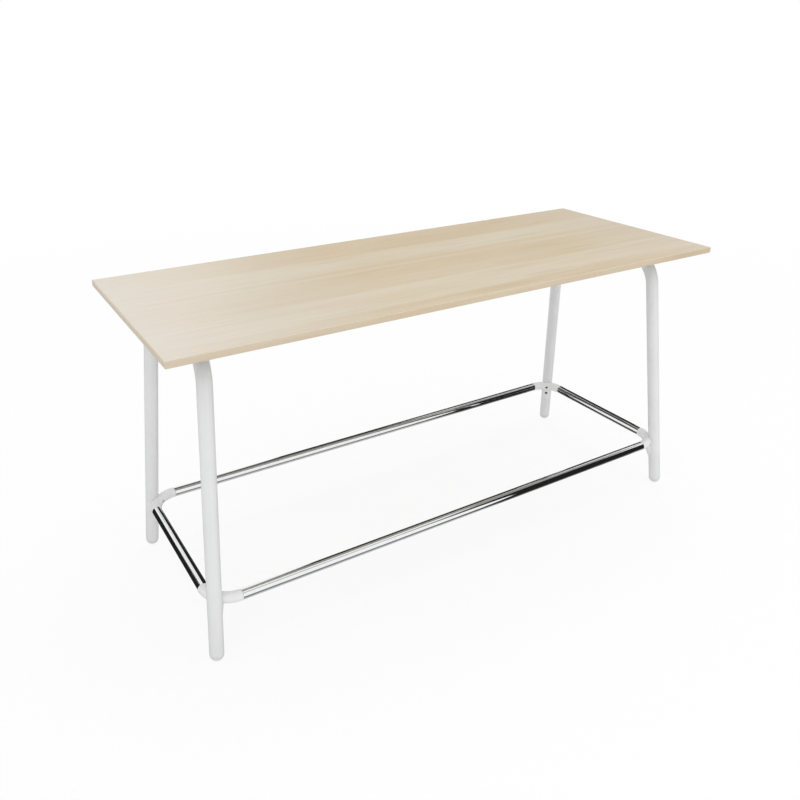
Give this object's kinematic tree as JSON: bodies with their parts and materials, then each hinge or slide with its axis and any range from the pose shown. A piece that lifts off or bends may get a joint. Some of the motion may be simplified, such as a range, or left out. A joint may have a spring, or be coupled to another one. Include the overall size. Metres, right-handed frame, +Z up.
{
  "type": "standing meeting table",
  "caption": "Standing-height meeting table: rectangular wood-decor top on splayed bent-tube leg frames, tied by a ring of chromed foot rails, on levelling dome glides.",
  "frame": {"origin": "on the floor, under the middle of the table top", "axes": "+X along the long side to the right, +Y from the front edge to the back edge, +Z up"},
  "size_m": [1.8, 0.7, 0.905],
  "materials": {
    "wood_decor": "matt oak-like decor, grain along the long side",
    "edge_decor": "edge band in the same decor",
    "white_paint": "white powder coat",
    "white_plastic": "moulded, fine satin",
    "glide_plastic": "moulded, smooth",
    "chrome": "polished",
    "zinc_steel": "zinc plated",
    "black_steel": "black oxide",
    "spacer_rubber": "matt"
  },
  "bodies": {
    "table": {"tabletop_board": "wood_decor", "edge_band_front": "edge_decor", "foot_rail_front": "chrome", "edge_band_back": "edge_decor", "foot_rail_back": "chrome", "edge_band_left": "edge_decor", "foot_rail_left": "chrome", "edge_band_right": "edge_decor", "foot_rail_right": "chrome", "leg_frame_left": "white_paint", "leg_frame_right": "white_paint", "beam_front": "white_paint", "beam_pad_front": "spacer_rubber", "beam_back": "white_paint", "beam_pad_back": "spacer_rubber", "mounting_plate_front_left": "white_paint", "beam_bolt_front_left": "zinc_steel", "rail_connector_front_left": "white_plastic", "glide_insert_front_left": "white_plastic", "wood_screw_front_left_outer": "zinc_steel", "wood_screw_front_left_inner": "zinc_steel", "connector_screw_front_left_upper": "black_steel", "rivet_nut_front_left_upper": "zinc_steel", "connector_screw_front_left_lower": "black_steel", "rivet_nut_front_left_lower": "zinc_steel", "mounting_plate_front_right": "white_paint", "beam_bolt_front_right": "zinc_steel", "rail_connector_front_right": "white_plastic", "glide_insert_front_right": "white_plastic", "wood_screw_front_right_outer": "zinc_steel", "wood_screw_front_right_inner": "zinc_steel", "connector_screw_front_right_upper": "black_steel", "rivet_nut_front_right_upper": "zinc_steel", "connector_screw_front_right_lower": "black_steel", "rivet_nut_front_right_lower": "zinc_steel", "mounting_plate_back_left": "white_paint", "beam_bolt_back_left": "zinc_steel", "rail_connector_back_left": "white_plastic", "glide_insert_back_left": "white_plastic", "wood_screw_back_left_outer": "zinc_steel", "wood_screw_back_left_inner": "zinc_steel", "connector_screw_back_left_upper": "black_steel", "rivet_nut_back_left_upper": "zinc_steel", "connector_screw_back_left_lower": "black_steel", "rivet_nut_back_left_lower": "zinc_steel", "mounting_plate_back_right": "white_paint", "beam_bolt_back_right": "zinc_steel", "rail_connector_back_right": "white_plastic", "glide_insert_back_right": "white_plastic", "wood_screw_back_right_outer": "zinc_steel", "wood_screw_back_right_inner": "zinc_steel", "connector_screw_back_right_upper": "black_steel", "rivet_nut_back_right_upper": "zinc_steel", "connector_screw_back_right_lower": "black_steel", "rivet_nut_back_right_lower": "zinc_steel"},
    "glide_front_left": {"levelling_glide_front_left": "glide_plastic"},
    "glide_front_right": {"levelling_glide_front_right": "glide_plastic"},
    "glide_back_left": {"levelling_glide_back_left": "glide_plastic"},
    "glide_back_right": {"levelling_glide_back_right": "glide_plastic"}
  },
  "joints": [
    {"name": "glide_front_left_level", "type": "slide", "parent": "table", "child": "glide_front_left", "axis": [-0.104, -0.104, -0.9891], "range_m": [0, 0.01]},
    {"name": "glide_front_right_level", "type": "slide", "parent": "table", "child": "glide_front_right", "axis": [0.104, -0.104, -0.9891], "range_m": [0, 0.01]},
    {"name": "glide_back_left_level", "type": "slide", "parent": "table", "child": "glide_back_left", "axis": [-0.104, 0.104, -0.9891], "range_m": [0, 0.01]},
    {"name": "glide_back_right_level", "type": "slide", "parent": "table", "child": "glide_back_right", "axis": [0.104, 0.104, -0.9891], "range_m": [0, 0.01]}
  ]
}
